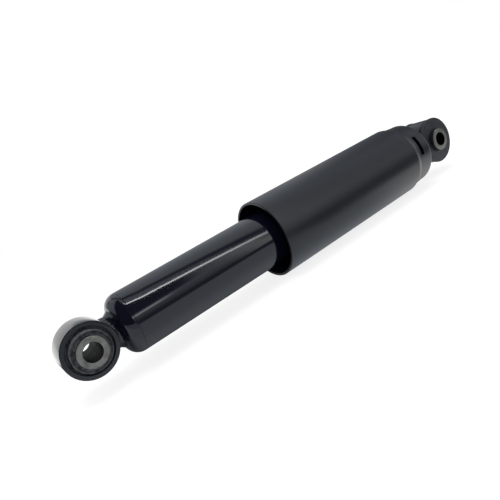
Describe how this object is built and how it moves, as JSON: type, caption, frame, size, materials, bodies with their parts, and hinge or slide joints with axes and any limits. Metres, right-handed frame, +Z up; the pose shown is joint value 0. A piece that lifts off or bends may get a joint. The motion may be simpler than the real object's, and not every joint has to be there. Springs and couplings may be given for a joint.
{
  "type": "shock absorber",
  "caption": "Telescopic twin-tube hydraulic shock absorber with a rubber-bushed eye at each end, a gloss painted reserve tube and a long moulded dust cover over the piston rod.",
  "frame": {"origin": "centre of the lower eye's bolt bore, halfway along its inner sleeve", "axes": "+X along the rod from the lower eye to the upper eye, +Y along both eye bolts, +Z up as the shock absorber lies level"},
  "size_m": [0.4734, 0.074, 0.074],
  "materials": {
    "gloss_painted_steel": "gloss",
    "satin_painted_steel": "satin",
    "moulded_plastic": "satin",
    "rubber": "matt",
    "bare_steel": "turned",
    "hard_chrome": "polished",
    "sintered_iron": "sintered",
    "bronze": "smooth",
    "piston_band_plastic": "smooth"
  },
  "bodies": {
    "reserve_body": {"lower_eye_ring": "gloss_painted_steel", "lower_bush_rubber": "rubber", "lower_eye_weld": "gloss_painted_steel", "base_cap": "gloss_painted_steel", "reserve_tube": "gloss_painted_steel", "base_valve_body": "sintered_iron", "base_valve_shims": "bare_steel", "base_valve_rivet": "bare_steel", "pressure_tube": "bare_steel", "rod_guide": "sintered_iron", "guide_bush": "bronze", "tube_o_ring": "rubber", "rod_seal": "rubber", "seal_garter_spring": "bare_steel", "closing_washer": "bare_steel"},
    "base_check": {"base_check_plate": "bare_steel", "base_check_spring": "bare_steel"},
    "piston_band_body": {"piston_band": "piston_band_plastic"},
    "rod_assembly": {"piston_rod": "hard_chrome", "piston": "sintered_iron", "rebound_shims": "bare_steel", "piston_washer": "bare_steel", "piston_nut": "bare_steel", "piston_support_washer": "bare_steel", "rebound_stop_collar": "bare_steel", "rebound_stop_ring": "moulded_plastic", "upper_cap": "satin_painted_steel", "dust_cover": "moulded_plastic", "upper_eye_weld": "satin_painted_steel", "upper_eye_ring": "satin_painted_steel", "upper_bush_rubber": "rubber"},
    "piston_check": {"piston_check_plate": "bare_steel", "piston_check_spring": "bare_steel"},
    "lower_sleeve": {"lower_inner_sleeve": "bare_steel"},
    "upper_sleeve": {"upper_inner_sleeve": "bare_steel"}
  },
  "joints": [
    {"name": "stroke", "type": "slide", "parent": "reserve_body", "child": "piston_band_body", "axis": [1, 0, 0], "range_m": [-0.05, 0.13]},
    {"name": "rod_turn", "type": "hinge", "parent": "piston_band_body", "child": "rod_assembly", "pos_m": [0.2, 0, 0], "axis": [1, 0, 0], "continuous": true},
    {"name": "lower_bush_twist", "type": "hinge", "parent": "reserve_body", "child": "lower_sleeve", "pos_m": [0, 0, 0], "axis": [0, 1, 0], "range_deg": [-15, 15], "stiffness_Nm_per_rad": 60},
    {"name": "upper_bush_twist", "type": "hinge", "parent": "rod_assembly", "child": "upper_sleeve", "pos_m": [0.427, 0, 0], "axis": [0, 1, 0], "range_deg": [-15, 15], "stiffness_Nm_per_rad": 60},
    {"name": "base_check_lift", "type": "slide", "parent": "reserve_body", "child": "base_check", "axis": [1, 0, 0], "range_m": [0, 0.0008], "stiffness_N_per_m": 300, "springref_m": -0.001, "deforming": ["base_check_spring"]},
    {"name": "piston_check_lift", "type": "slide", "parent": "rod_assembly", "child": "piston_check", "axis": [1, 0, 0], "range_m": [0, 0.0008], "stiffness_N_per_m": 300, "springref_m": -0.001, "deforming": ["piston_check_spring"]}
  ]
}
